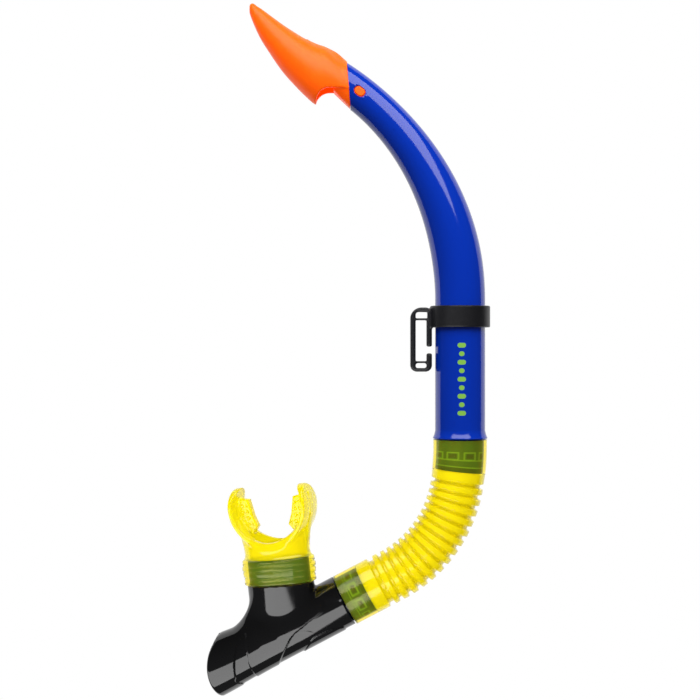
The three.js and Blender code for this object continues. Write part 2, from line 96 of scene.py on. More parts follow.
PANEL_RADIANCE = 3.4
over_flag = panel_light("panel_over", (-0.62, -0.9, 0.424), 1.30, 0.78, 1 / 1.8, PANEL_RADIANCE)
under_flag = panel_light("panel_under", (-1.21, -0.9, -0.272), 1.33, 0.77, -1 / 1.9, PANEL_RADIANCE)


def cove_sheet(name, corners, shade, seen_in_gloss):
    """One flat white sheet of the cove, plain and evenly lit."""
    mesh = bpy.data.meshes.new(name)
    mesh.from_pydata(corners, [], [(0, 1, 2, 3)])
    sheet = bpy.data.objects.new(name, mesh)
    scene.collection.objects.link(sheet)
    paper = bpy.data.materials.new(name)
    paper.use_nodes = True
    nodes, links = paper.node_tree.nodes, paper.node_tree.links
    nodes.clear()
    glow = nodes.new("ShaderNodeEmission")
    glow.inputs["Strength"].default_value = shade
    links.new(glow.outputs[0], nodes.new("ShaderNodeOutputMaterial").inputs["Surface"])
    mesh.materials.append(paper)
    sheet.visible_glossy, sheet.visible_diffuse = seen_in_gloss, False


FLOOR_Z, WALL_Y = -0.62, 0.8
cove_sheet("cove_floor", [(-2, -2, FLOOR_Z), (2, -2, FLOOR_Z), (2, WALL_Y, FLOOR_Z), (-2, WALL_Y, FLOOR_Z)],
           1.0, False)
cove_sheet("cove_wall", [(-2.6, WALL_Y, -2.0), (2.6, WALL_Y, -2.0), (2.6, WALL_Y, 2.2), (-2.6, WALL_Y, 2.2)],
           1.0, True)

world = bpy.data.worlds.new("studio")
world.use_nodes = True
scene.world = world
nodes, links = world.node_tree.nodes, world.node_tree.links
nodes.clear()
ray = nodes.new("ShaderNodeLightPath")
ROOM_LEVEL = 0.22
level = None
for socket, shade in (("Is Glossy Ray", 0.06), ("Is Transmission Ray", 0.95), ("Is Camera Ray", 1.0)):
    pick = nodes.new("ShaderNodeMix")
    pick.inputs["A"].default_value = ROOM_LEVEL
    if level is not None:
        links.new(level, pick.inputs["A"])
    pick.inputs["B"].default_value = shade
    links.new(ray.outputs[socket], pick.inputs["Factor"])
    level = pick.outputs["Result"]
sky = nodes.new("ShaderNodeBackground")
links.new(level, sky.inputs["Strength"])
links.new(sky.outputs[0], nodes.new("ShaderNodeOutputWorld").inputs["Surface"])

# ---------- strap keeper ----------
# One moulding of tough satin-black flexible plastic: a ring that grips the barrel and a slotted hook
# for the mask strap. The hook's inner bar hangs free, so that a looped strap slips in past its end.
MM = 0.001
BARREL_X = 21.45  # the barrel's straight part runs up at this X


def skin(name, field, low, high, step):
    """A closed skin round a solid given by its depth: field(x, y, z) is the distance to the surface in mm,
    below nought inside. It is read on a cubic grid; each cell that the surface crosses gets one vertex,
    each crossed grid edge one face between the four cells round it, and the vertices then slide down
    the slope of the field on to the surface, where that slope gives the shading."""
    axes = [np.arange(a - 1.5 * step, b + 2.5 * step, step) for a, b in zip(low, high)]
    inside = field(*np.meshgrid(*axes, indexing="ij", sparse=True)) < 0
    count = sum(
        inside[i : i - 1 or None, j : j - 1 or None, k : k - 1 or None].astype(np.int8)
        for i, j, k in product((0, 1), repeat=3)
    )
    mixed = (count > 0) & (count < 8)
    number = np.full(mixed.shape, -1)
    number[mixed] = np.arange(mixed.sum())
    points = np.stack([axes[i][at] + step / 2 for i, at in enumerate(np.nonzero(mixed))])
    reach = step / 8
    for _ in range(5):
        depth = field(*points)
        slope = np.stack([
            (field(*(points + reach * side)) - field(*(points - reach * side))) / (2 * reach)
            for side in np.eye(3)[:, :, None]
        ])
        move = slope * depth / np.maximum((slope**2).sum(0), 0.05)
        points -= np.clip(move, -step / 3, step / 3)
    normals = slope / np.maximum(np.sqrt((slope**2).sum(0)), 1e-6)
    quads = []
    for axis in range(3):
        side, other = np.eye(3, dtype=int)[[(axis + 1) % 3, (axis + 2) % 3]]
        change = np.diff(inside.astype(np.int8), axis=axis)
        for sign, round_edge in ((-1, 1), (1, -1)):
            at = np.stack(np.nonzero(change == sign), axis=1)
            ring = [number[tuple((at - a * side - b * other).T)]
                    for a, b in ((0, 0), (1, 0), (1, 1), (0, 1))]
            quads.append(np.stack(ring[::round_edge], axis=1))
    piece = set_down(name, points.T, np.concatenate(quads))
    piece.data.normals_split_custom_set_from_vertices(normals.T)
    return piece


def set_down(name, points, faces, sharp=None):
    """A mesh object from points in mm and four-sided faces, smooth except at edges sharper than this
    many degrees."""
    mesh = bpy.data.meshes.new(name)
    mesh.vertices.add(len(points))
    mesh.vertices.foreach_set("co", (np.asarray(points) * MM).astype(np.float32).ravel())
    mesh.loops.add(faces.size)
    mesh.loops.foreach_set("vertex_index", faces.astype(np.int32).ravel())
    mesh.polygons.add(len(faces))
    mesh.polygons.foreach_set("loop_start", np.arange(0, faces.size, 4, dtype=np.int32))
    mesh.update(calc_edges=True)
    mesh.polygons.foreach_set("use_smooth", np.ones(len(faces), bool))
    if sharp:
        mesh.set_sharp_from_angle(angle=radians(sharp))
    piece = bpy.data.objects.new(name, mesh)
    scene.collection.objects.link(piece)
    return piece


def fuse(a, b, r):
    """Two solids joined, with a fillet of about r mm: the lower distance, less r h (1 - h) near equality."""
    h = np.clip(0.5 + 0.5 * (b - a) / r, 0, 1)
    return b + (a - b) * h - r * h * (1 - h)


def keep(a, b, r=0.4):
    """What two solids share, its edge rounded by r mm."""
    return -fuse(-a, -b, r)


def carve(a, tool, r=0.4):
    """Solid a less the tool, its edge rounded by r mm."""
    return -fuse(-a, tool, r)


def rounded_box(u, v, half_u, half_v, r):
    """Distance to a rectangle centred on nought whose corners have radius r."""
    du, dv = np.abs(u) - (half_u - r), np.abs(v) - (half_v - r)
    return np.hypot(np.maximum(du, 0), np.maximum(dv, 0)) + np.minimum(np.maximum(du, dv), 0) - r


def keeper_depth(x, y, z):
    """The ring and the slotted hook, fused, less the barrel's way through the ring."""
    ring = rounded_box(np.hypot(x - BARREL_X, y) - 15.3, z - 13.3, 1.15, 5.9, 0.7)
    corner = np.where((x < 0) & (z > 0), 6.0, 3.6)
    frame_edge = rounded_box(x, z - 0.7, 5.9, 17.6, corner)
    slot = rounded_box(x, z - 0.1, 3.0, 11.2, 0.6)
    foot_window = rounded_box(x, z + 13.55, 3.0, 1.35, 1.2)
    head_window = rounded_box(x - 0.2, z - 14.1, 3.2, 1.7, np.where((x < 0) & (z > 14), 1.6, 0.5))
    plate = carve(carve(carve(frame_edge, slot, 0.3), foot_window, 0.3), head_window, 0.3)
    plate = carve(plate, rounded_box(x - 6.5, z + 5.0, 3.9, 1.8, 0.5), 1.2)
    rib = (np.abs(z - 0.1) > 11.2) & (np.abs(z - 0.1) < 12.3) & (np.abs(x) < 3)
    hook = keep(plate, np.abs(y) - np.where(rib, 3.4, 4.0), 1.5)
    return carve(fuse(hook, ring, 1.6), np.hypot(x - BARREL_X, y) - 14.15, 0.2)


def node(tree, kind, inputs=None, **settings):
    """Adds one node to a tree, with its settings, and gives each named input its value or link."""
    made = tree.nodes.new("ShaderNode" + kind)
    for key, value in settings.items():
        setattr(made, key, value)
    for key, value in (inputs or {}).items():
        if isinstance(value, bpy.types.NodeSocket):
            tree.links.new(value, made.inputs[key])
        else:
            made.inputs[key].default_value = value
    return made


def build_moulded_surface():
    """The skin that a steel mould leaves: a slow drift of tone, a fine bloom of roughness and a faint
    orange peel."""
    tree = bpy.data.node_groups.new("moulded_surface", "ShaderNodeTree")
    add = tree.interface.new_socket
    for label, kind, value in (
        ("Color", "NodeSocketColor", None), ("Drift", "NodeSocketFloat", 0.06),
        ("Roughness", "NodeSocketFloat", 0.2), ("Bloom", "NodeSocketFloat", 0.05),
        ("Grain", "NodeSocketFloat", 900.0),
    ):
        socket = add(name=label, in_out="INPUT", socket_type=kind)
        if value is not None:
            socket.default_value = value
    for label, kind in (
        ("Color", "NodeSocketColor"), ("Roughness", "NodeSocketFloat"), ("Height", "NodeSocketFloat"),
    ):
        add(name=label, in_out="OUTPUT", socket_type=kind)
    given, out = tree.nodes.new("NodeGroupInput"), tree.nodes.new("NodeGroupOutput")
    place = node(tree, "TexCoord").outputs["Object"]
    slow = node(tree, "TexNoise", {"Vector": place, "Scale": 26.0, "Detail": 3.0})
    bloom = node(tree, "TexNoise", {"Vector": place, "Scale": 240.0, "Detail": 4.0, "Roughness": 0.65})
    peel = node(tree, "TexNoise", {"Vector": place, "Scale": given.outputs["Grain"], "Detail": 2.0})
    centred = node(tree, "Math", {0: slow.outputs["Fac"], 1: 0.5}, operation="SUBTRACT")
    tone = node(tree, "Math", {0: centred.outputs[0], 1: given.outputs["Drift"], 2: 1.0},
                operation="MULTIPLY_ADD")
    tinted = node(tree, "VectorMath", {0: given.outputs["Color"], "Scale": tone.outputs[0]},
                  operation="SCALE")
    lift = node(tree, "Math", {0: bloom.outputs["Fac"], 1: 0.5}, operation="SUBTRACT")
    rough = node(tree, "Math", {0: lift.outputs[0], 1: given.outputs["Bloom"], 2: given.outputs["Roughness"]},
                 operation="MULTIPLY_ADD")
    tree.links.new(tinted.outputs[0], out.inputs["Color"])
    tree.links.new(rough.outputs[0], out.inputs["Roughness"])
    tree.links.new(peel.outputs["Fac"], out.inputs["Height"])
    return tree


moulded_surface = build_moulded_surface()


def moulded_plastic(name, color, roughness, drift=0.06, bloom=0.05, grain=900.0, relief=0.00002, **sockets):
    """A material of its own round the moulded surface; sockets are plain values on the shader's own
    sockets, with _ in their names for a space."""
    material = bpy.data.materials.new(name)
    material.use_nodes = True
    tree = material.node_tree
    shader = tree.nodes["Principled BSDF"]
    surface = node(tree, "Group", node_tree=moulded_surface)
    surface.inputs["Color"].default_value = (*color, 1)
    for label, value in (("Drift", drift), ("Roughness", roughness), ("Bloom", bloom), ("Grain", grain)):
        surface.inputs[label].default_value = value
    bump = node(tree, "Bump", {"Height": surface.outputs["Height"], "Distance": relief, "Strength": 1.0})
    tree.links.new(surface.outputs["Color"], shader.inputs["Base Color"])
    tree.links.new(surface.outputs["Roughness"], shader.inputs["Roughness"])
    tree.links.new(bump.outputs[0], shader.inputs["Normal"])
    for label, value in sockets.items():
        shader.inputs[label.replace("_", " ")].default_value = value
    return material


keeper = skin("keeper", keeper_depth, (-6, -16.5, -17), (38, 16.5, 19.4), 0.36)
satin_black = moulded_plastic("keeper_black", (0.007, 0.007, 0.0085), 0.36, grain=1600.0, bloom=0.12,
                              Specular_IOR_Level=0.3)
keeper.data.materials.append(satin_black)
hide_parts("keeper_clip")
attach(keeper, "keeper")

# ---------- barrel ----------
# The rigid breathing tube: glossy royal-blue plastic, drawn to a taper and bent over a former. Its skirt
# covers the end of the hose, and a plain spigot below it, ringed and lugged, holds the hose on.
FOOT, BEND_START, BEND_RADIUS, BEND_ANGLE = -53.6, 22.5, 143.5, 55
STRAIGHT, BEND = BEND_START - FOOT, BEND_RADIUS * radians(BEND_ANGLE)
WIDE, TIP = 13.75, 10.04  # outer radius of the straight part, and at the barrel's top
TAPER_START, TAPER_SPAN = 6, 46  # degrees of the bend
AROUND = 96


def smooth(t):
    """Nought to one with no kink at either end."""
    t = np.clip(t, 0, 1)
    return t * t * (3 - 2 * t)


def follow(s, x, z, heading, stretches):
    """Point, direction and left-hand side of a centreline in the XZ plane at distance s along it: each
    stretch is a line or an arc of (length, turn in degrees), and the last one goes on for ever."""
    s = np.asarray(s, float)
    px, pz, h = (np.full(s.shape, float(v)) for v in (x, z, radians(heading)))
    left = s
    for i, (length, turn) in enumerate(stretches):
        part = left if i == len(stretches) - 1 else np.minimum(left, length)
        part = part if i == 0 else np.maximum(part, 0)
        bend = radians(turn) * part / length
        chord = part * np.sinc(bend / 2 / pi)
        px, pz = px + chord * np.cos(h + bend / 2), pz + chord * np.sin(h + bend / 2)
        h, left = h + bend, left - part
    return px, pz, h


def barrel_line(s):
    """The barrel's centreline: straight up from its foot, then round its bend."""
    return follow(s, BARREL_X, FOOT, 90, [(STRAIGHT, 0), (BEND, BEND_ANGLE)])


def barrel_radius(s):
    """Wide along the straight part, then tapering smoothly to the tip's radius round the bend."""
    angle = np.degrees((s - STRAIGHT) / BEND_RADIUS)
    return WIDE + (TIP - WIDE) * smooth((angle - TAPER_START) / TAPER_SPAN)


END_X, END_Z, END_TILT = -39.74, 140.05, radians(-4.4)


def past_cut(x, z):
    """How far a point lies before the slanting cut at the barrel's top, in mm: the guard is below nought."""
    return (x - END_X) * cos(END_TILT) - (z - END_Z) * sin(END_TILT)


def carried(name, radius, along, line, around=AROUND, sharp=32):
    """A closed profile carried along a centreline: radius and along give the profile's points, either
    one number each or one for each direction round the tube. The point at angle a is the centreline's,
    plus radius times (cos a along the line's side, sin a along Y). The grid closes both ways."""
    angle = np.arange(around) * 2 * pi / around
    along = np.broadcast_to(np.asarray(along, float).reshape(len(along), -1), (len(along), around))
    radius = np.broadcast_to(np.asarray(radius, float).reshape(len(radius), -1), (len(radius), around))
    px, pz, h = line(along)
    points = np.stack([px - np.sin(h) * radius * np.cos(angle), radius * np.sin(angle),
                       pz + np.cos(h) * radius * np.cos(angle)], axis=-1)
    i, j = np.meshgrid(np.arange(len(along)), np.arange(around), indexing="ij")
    i1, j1 = (i + 1) % len(along), (j + 1) % around
    quads = np.stack([i * around + j, i1 * around + j, i1 * around + j1, i * around + j1], axis=-1)
    quads = quads.reshape(-1, 4)
    flat = points.reshape(-1, 3)
    if volume(flat, quads) < 0:
        quads = quads[:, ::-1]
    return set_down(name, flat, quads, sharp)


def volume(points, quads):
    """Six times the volume that the faces enclose: for both triangles of each face, the sum of the
    triple product of their corners."""
    a, b, c, d = (points[quads[:, k]] for k in range(4))
    return (a * np.cross(b, c)).sum() + (a * np.cross(c, d)).sum()


def to_cut(radius):
    """Distance along the barrel at which a tube of this radius meets the cut, for each direction round
    it, by halving the span 40 times."""
    angle = np.arange(AROUND) * 2 * pi / AROUND
    low, high = (np.full(AROUND, STRAIGHT + BEND + reach) for reach in (-25.0, 25.0))
    for _ in range(40):
        middle = (low + high) / 2
        px, pz, h = barrel_line(middle)
        aside = radius * np.cos(angle)
        before = past_cut(px - np.sin(h) * aside, pz + np.cos(h) * aside) > 0
        low, high = np.where(before, middle, low), np.where(before, high, middle)
    return low


def cut_rows(profile, radius_of, last):
    """Rows of a tube wall up to the cut: profile holds the distances up to last, and the rest of the rows
    share out what is left to the cut in each direction."""
    rows = np.repeat(np.asarray(profile, float)[:, None], AROUND, axis=1)
    share = np.linspace(0, 1, 15)[1:, None]
    tail = last + (to_cut(radius_of(STRAIGHT + BEND)) - last) * share
    return np.concatenate([rows, tail])


WALL = 1.6
SKIRT_TOP, LAST_ROW = 4.8, STRAIGHT + BEND - 22
outer_s = cut_rows(np.linspace(SKIRT_TOP, LAST_ROW, 120), barrel_radius, LAST_ROW)
outer_r = barrel_radius(outer_s)
inner_s = cut_rows(np.linspace(8, LAST_ROW, 60), lambda s: barrel_radius(s) - WALL, LAST_ROW)
inner_r = barrel_radius(inner_s) - WALL
# [distance, radius] from the spigot's tip up to the skirt: rings and the skirt's flare.
spigot = np.array([
    (-17.3, 9.9), (-17.3, 11.1), (-17.0, 11.5), (-15.4, 11.55), (-15.2, 11.9), (-14.3, 11.9),
    (-14.1, 11.45), (-11.5, 11.5), (-11.3, 11.85), (-10.6, 11.85), (-10.4, 11.5), (-7.0, 11.5),
    (-6.8, 11.75), (-6.2, 11.75), (-6.0, 11.55), (-0.3, 11.9), (0.0, 12.1), (0.0, 14.7), (0.25, 14.98),
    (0.7, 14.95), (1.4, 14.6), (2.2, 14.3), (3.0, 14.08), (3.8, 13.9), (4.4, 13.79),
])


def all_round(values):
    """Rows that are the same in each direction round the tube."""
    return np.repeat(np.asarray(values, float)[:, None], AROUND, axis=1)


barrel = carried(
    "barrel_tube",
    np.concatenate([all_round(spigot[:, 1]), outer_r, inner_r[::-1], all_round([12.1, 9.9])]),
    np.concatenate([all_round(spigot[:, 0]), outer_s, inner_s[::-1], all_round([6.0, 2.0])]),
    barrel_line,
)


def cut_out(piece, tool):
    """Cuts the tool out of the piece, and takes the tool away."""
    change = piece.modifiers.new("difference", "BOOLEAN")
    change.operation, change.object, change.solver = "DIFFERENCE", tool, "EXACT"
    evaluated = piece.evaluated_get(bpy.context.evaluated_depsgraph_get())
    mesh = bpy.data.meshes.new_from_object(evaluated)
    piece.modifiers.clear()
    piece.data = mesh
    bpy.data.objects.remove(tool)


STUD_ANGLE = 52
STUD_X, STUD_Z, _ = (float(v) for v in barrel_line(STRAIGHT + BEND_RADIUS * radians(STUD_ANGLE)))
STUD_TURN = radians(90 + STUD_ANGLE)


def stud_depth(x, y, z, half_long, half_wide, reach):
    """An oval pin right through the tube: a rounded bar of this length and width about the stud's axis."""
    u = (x - STUD_X) * cos(STUD_TURN) + (z - STUD_Z) * sin(STUD_TURN)
    v = -(x - STUD_X) * sin(STUD_TURN) + (z - STUD_Z) * cos(STUD_TURN)
    return keep(rounded_box(u, v, half_long, half_wide, half_wide - 0.05), np.abs(y) - reach, 0.5)


stud_low, stud_high = (STUD_X - 5, -15, STUD_Z - 5), (STUD_X + 5, 15, STUD_Z + 5)
stud_cutter = skin("stud_cutter", lambda x, y, z: stud_depth(x, y, z, 3.35, 2.5, 14), stud_low, stud_high,
                   0.4)
cut_out(barrel, stud_cutter)


LUG_PITCH, LUG_HALF_WIDE, LUG_HALF_HIGH = pi / 4, 2.3, 1.1
LUG_Z, SPIGOT_R = -62.7, 11.6


def lug_depth(x, y, z):
    """Eight low lugs round the spigot, 9.1 mm below the skirt."""
    angle = np.arctan2(y, x - BARREL_X)
    off = (np.mod(angle, LUG_PITCH) - LUG_PITCH / 2) * SPIGOT_R
    lug = rounded_box(off, z - LUG_Z, LUG_HALF_WIDE, LUG_HALF_HIGH, 0.3)
    return keep(lug, np.abs(np.hypot(x - BARREL_X, y) - SPIGOT_R) - 0.55, 0.15)


royal_blue = moulded_plastic("barrel_blue", (0.001, 0.036, 0.50), 0.09, drift=0.05, bloom=0.03, grain=420.0,
                             relief=0.000003, IOR=1.58)


def math(tree, operation, *values):
    """One Math node's result; values fill its sockets in turn."""
    return node(tree, "Math", dict(enumerate(values)), operation=operation).outputs[0]


def pill_mask(tree, u, v, half_u, half_v):
    """One inside a bar with round ends, nought outside it, with u and v in mm from its middle."""
    r = min(half_u, half_v)
    out_u = math(tree, "MAXIMUM", math(tree, "SUBTRACT", math(tree, "ABSOLUTE", u), half_u - r), 0.0)
    out_v = math(tree, "MAXIMUM", math(tree, "SUBTRACT", math(tree, "ABSOLUTE", v), half_v - r), 0.0)
    away = math(tree, "SQRT", math(tree, "MULTIPLY_ADD", out_u, out_u, math(tree, "MULTIPLY", out_v, out_v)))
    return node(tree, "MapRange", {"Value": away, 1: r + 0.06, 2: r - 0.06}).outputs[0]


PRINT_FOOT, PRINT_PITCH, PRINT_BARS = -41.5, 4.6, 9


def lime_print(material):
    """A column of nine lime bars, long and short by turns, pad-printed down the front of the barrel."""
    tree = material.node_tree
    shader = tree.nodes["Principled BSDF"]
    at = node(tree, "SeparateXYZ", {0: node(tree, "TexCoord").outputs["Object"]}).outputs
    across = math(tree, "MULTIPLY_ADD", at["X"], 1000.0, -BARREL_X)
    up = math(tree, "MULTIPLY_ADD", at["Z"], 1000.0, -PRINT_FOOT)
    in_pitch = math(tree, "SUBTRACT", math(tree, "FLOORED_MODULO", up, PRINT_PITCH), PRINT_PITCH / 2)
    in_pair = math(tree, "SUBTRACT", math(tree, "FLOORED_MODULO", up, 2 * PRINT_PITCH), PRINT_PITCH / 2)
    bars = math(tree, "MAXIMUM", pill_mask(tree, across, in_pitch, 1.5, 1.3),
                pill_mask(tree, across, in_pair, 2.3, 1.3))
    half_height = PRINT_BARS / 2 * PRINT_PITCH
    column = pill_mask(tree, across, math(tree, "SUBTRACT", up, half_height), 3.5, half_height)
    front = math(tree, "LESS_THAN", at["Y"], 0.0)
    ink = math(tree, "MULTIPLY", bars, math(tree, "MULTIPLY", column, front))
    plain = shader.inputs["Base Color"].links[0].from_socket
    mixed = node(tree, "Mix", {"Factor": ink, 6: plain, 7: (0.30, 0.66, 0.10, 1)}, data_type="RGBA")
    tree.links.new(mixed.outputs[2], shader.inputs["Base Color"])


lime_print(royal_blue)
barrel.data.materials.append(royal_blue)
lugs = skin("barrel_lugs", lug_depth, (BARREL_X - 12.4, -12.4, -64), (BARREL_X + 12.4, 12.4, -61.4), 0.3)
lugs.data.materials.append(royal_blue)
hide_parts("barrel")
for piece in (barrel, lugs):
    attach(piece, "upper_tube")
flag_off([barrel, lugs], under_flag)

# ---------- splash guard ----------
# One moulding of satin orange plastic: a horn-shaped hood that sheds waves, open underneath behind an
# arched lip, with a short collar that plugs into the barrel. Two oval studs snap into windows in its wall.

# Upright sections of the hood: X, top edge, bottom edge, half width.
HOOD = np.array([
    (-36.0, 149.0, 126.6, 8.6), (-40.6, 153.2, 127.0, 10.0), (-46.6, 158.4, 127.9, 11.6),
    (-52.0, 160.8, 128.6, 12.5), (-58.0, 162.9, 129.8, 12.9), (-63.3, 165.6, 134.2, 12.6),
    (-69.3, 169.2, 140.2, 11.5), (-76.5, 174.0, 148.4, 9.5), (-83.0, 178.8, 157.8, 7.2),
    (-89.5, 183.4, 168.6, 4.4), (-93.1, 185.2, 177.0, 2.2), (-94.2, 184.4, 180.0, 1.0),
])[::-1].T
HOOD_WALL, RIDGE_HIGH, RIDGE_WIDE = 1.7, 5.2, 5.0


def through(x, knots, values):
    """A smooth curve through points: between two knots it is the cubic whose slope at each knot is the
    mean of the stretches beside it; past the ends it stays level."""
    knots, values = np.asarray(knots, float), np.asarray(values, float)
    slope = np.gradient(values, knots)
    i = np.clip(np.searchsorted(knots, x) - 1, 0, len(knots) - 2)
    h = knots[i + 1] - knots[i]
    t = np.clip((x - knots[i]) / h, 0, 1)
    return ((1 + 2 * t) * (1 - t) ** 2 * values[i] + t * (1 - t) ** 2 * h * slope[i]
            + t * t * (3 - 2 * t) * values[i + 1] + t * t * (t - 1) * h * slope[i + 1])


def oval(u, v, a, b):
    """Distance to an oval with half axes a and b, from its scaled radius k: (k - 1) over the slope of k."""
    k = np.sqrt((u / a) ** 2 + (v / b) ** 2) + 1e-9
    return (k - 1) * k / (np.sqrt((u / a**2) ** 2 + (v / b**2) ** 2) + 1e-9)


def hood_depth(x, y, z, wall):
    """The hood, or its hollow when wall is over nought: upright ovals, and a ridge along the top which
    carries the line of the barrel on into the hood."""
    top, bottom, half = (through(x, HOOD[0], row) for row in HOOD[1:])
    shoulder = top - 3.6 * smooth((x + 53) / 11)
    high = np.maximum((shoulder - bottom) / 2 - wall, 0.15)
    body = oval(z - (shoulder + bottom) / 2, y, high, np.maximum(half - wall, 0.15))
    ridge_high, ridge_wide = (np.maximum(reach - wall, 0.5) for reach in (RIDGE_HIGH, RIDGE_WIDE))
    ridge = oval(z - top + RIDGE_HIGH, y, ridge_high, ridge_wide)
    ridge = np.maximum(ridge, -62.0 - x)
    return keep(fuse(body, ridge, 1.6), HOOD[0][0] + wall - x, 0.8)


def bend_tube(x, y, z, r):
    """Distance to a tube of radius r on the barrel's own bend."""
    return np.hypot(np.hypot(x - BARREL_X + BEND_RADIUS, z - BEND_START) - BEND_RADIUS, y) - r


def guard_depth(x, y, z):
    """The hood's shell, open below at the inlet, fused to a socket: a collar that meets the barrel's
    cut, and a plug inside the barrel. The studs join it, and the breathing bore goes out of it."""
    cut = past_cut(x, z)
    inlet = rounded_box(x + 37.6, z - 117.6, 20.0, 20.0, 7.5)
    shell = keep(hood_depth(x, y, z, 0), -hood_depth(x, y, z, HOOD_WALL), 0.5)
    hood = keep(carve(shell, inlet, 0.7), cut + 0.15, 0.2)
    collar = keep(bend_tube(x, y, z, TIP), cut + 0.15, 0.2)
    plug = keep(bend_tube(x, y, z, TIP - WALL - 0.35), cut - 13.0, 0.2)
    socket = keep(fuse(collar, plug, 0.2), -cut - 8.5, 0.4)
    socket = keep(socket, -0.716 * (x + 38.8) - 0.698 * (z - 127.3), 0.6)
    joined = fuse(hood, socket, 1.2)
    joined = np.minimum(joined, stud_depth(x, y, z, 2.9, 2.05, TIP + 0.35))
    return carve(joined, keep(bend_tube(x, y, z, 6.6), -cut - 11.0, 0.3), 0.3)


guard = skin("guard_hood", guard_depth, (-96, -14.5, 116), (-22, 14.5, 187), 0.45)
# The hood gives off a painted red-orange glow through its emission, which stands in for light on it and
# inside it; it is no lamp.
guard.data.materials.append(moulded_plastic(
    "guard_orange", (1.0, 0.15, 0.001), 0.38, drift=0.05, bloom=0.10, grain=1300.0, Specular_IOR_Level=0.3,
    Subsurface_Weight=0.3, Subsurface_Radius=(1.0, 0.25, 0.05), Subsurface_Scale=0.003,
    Emission_Strength=0.42, Emission_Color=(1, 0.085, 0, 1),
))
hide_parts("splash_guard")
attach(guard, "upper_tube")
flag_off([guard], under_flag)

# ---------- hose ----------
# Clear yellow silicone, moulded in one: a smooth cuff at each end, pulled over the spigots, and fourteen
# ribs between them. It is shown as a length for each bend, which meet in the valleys between ribs.
HOSE_TOP = -54.2
TOP_STRAIGHT, END_STRAIGHT = 3.5, 28.6
CUFF_TURN, HOSE_TURN = 10.3, 52  # degrees
CUFF_ARC, HOSE_ARC = 127 * radians(CUFF_TURN), 68.6 * radians(HOSE_TURN)
FIRST_RIB, PITCH = TOP_STRAIGHT + CUFF_ARC, 5.04
HOSE_END = FIRST_RIB + HOSE_ARC + END_STRAIGHT
RIBS = FIRST_RIB + PITCH * np.arange(14)
VALLEY_R, RIB_RISE = 12.55, 2.05
HOSE_WALL, CUFF_BORE = 1.25, 12.3


def hose_line(s):
    """The hose's centreline, down from the barrel's spigot and round to the chamber's."""
    stretches = [(TOP_STRAIGHT, 0), (CUFF_ARC, -CUFF_TURN), (HOSE_ARC, -HOSE_TURN), (END_STRAIGHT, 0)]
    return follow(s, BARREL_X, HOSE_TOP, 270, stretches)


def rib_height(s):
    """Nought in a valley to one on a rib: a flat-topped wave of the distance to the nearest rib."""
    off = np.abs(s[..., None] - RIBS).min(-1)
    return smooth((2.15 - off) / 1.05)


def hose_outside(s):
    """The cuffs' radius at the ends, and the ribs between."""
    ribbed = VALLEY_R + RIB_RISE * rib_height(s)
    cuff = np.where(s < 60, 14.75 - 0.2 * smooth((s - 14) / 8), 14.5)
    in_cuff = np.where(s < 60, 1 - smooth((s - 22.2) / 1.2), smooth((s - (HOSE_END - 21.6)) / 1.2))
    return ribbed + (cuff - ribbed) * in_cuff


def hose_inside(s):
    """The bore: a wall's thickness in from the outside, and drawn in on to the spigots at both ends."""
    spigot_top, spigot_end = smooth((18.3 - s) / 0.8), smooth((s - (HOSE_END - 14.2)) / 0.8)
    free = np.minimum(hose_outside(s) - HOSE_WALL, 12.9)
    return free + (CUFF_BORE - free) * np.maximum(spigot_top, spigot_end)


def silicone(name, color, clear, bend, glow):
    """Clear yellow silicone under a glossy skin: light passes with the share clear, bent as by an index bend,
    and the rest scatters in its colour, to which a painted yellow glow adds the share glow."""
    return moulded_plastic(
        name, color, 0.1, drift=0.03, bloom=0.04, grain=500.0, relief=0.00001, IOR=bend,
        Transmission_Weight=clear, Coat_Weight=0.8, Coat_Roughness=0.1, Coat_IOR=1.45,
        Emission_Strength=glow, Emission_Color=(0.95, 0.84, 0.0, 1),
    )


# The free silicone, used for the hose and the mouthpiece, gets a painted glow of 0.06; the silicone over the
# spigots gets none.
free_silicone = silicone("silicone_yellow", (0.88, 0.77, 0.006), 0.62, 1.16, 0.06)
cuff_silicone = silicone("silicone_over_spigot", (0.97, 0.80, 0.03), 0.96, 1.06, 0.0)


def cuff_bore_look():
    """The bore of a cuff, where the silicone lies on the spigot: a vertex attribute turns it from pale green,
    a painted highlight off the spigot's edges, through green over the wall, to dark teal over a lug."""
    material = moulded_plastic("silicone_on_spigot", (0.045, 0.12, 0.035), 0.3, drift=0.2)
    tree = material.node_tree
    tone = node(tree, "Attribute", attribute_name="spigot_tone_with_highlights").outputs["Fac"]
    ramp = node(tree, "ValToRGB", {"Fac": tone})
    stops = ramp.color_ramp.elements
    # The palest stop is a painted highlight; the green and dark stops show the spigot through the silicone.
    stops[0].color, stops[1].color = (0.10, 0.26, 0.16, 1), (0.003, 0.03, 0.10, 1)
    stops.new(0.5).color = (0.011, 0.072, 0.12, 1)
    surface = next(n for n in tree.nodes if n.bl_idname == "ShaderNodeGroup")
    tree.links.new(ramp.outputs["Color"], surface.inputs["Color"])
    return material


cuff_bore = cuff_bore_look()


def spigot_tone_with_highlights(deep, angle, lug_at, lines, tip):
    """What shows of the spigot at deep mm from the cuff's mouth: a half over its wall, one over the eight
    lugs, less in a line round each lug and on the ring lines, where painted highlights stand for light off
    the spigot's edges, and more on the band at its tip."""
    off = np.abs(np.mod(angle, LUG_PITCH) - LUG_PITCH / 2) * CUFF_BORE
    past_lug = np.maximum(off - LUG_HALF_WIDE, np.abs(deep - lug_at) - LUG_HALF_HIGH)
    # The pale line round each lug, and the pale ring lines below, are painted highlights.
    tone = np.where(np.abs(past_lug - 0.8) < 0.35, 0.12, np.where(past_lug < 0, 1.0, 0.5))
    for line in lines:
        tone = np.where(np.abs(deep - line) < 0.25, 0.15, tone)
    return np.where((deep > tip - 2.2) & (deep < tip), 0.85, tone)


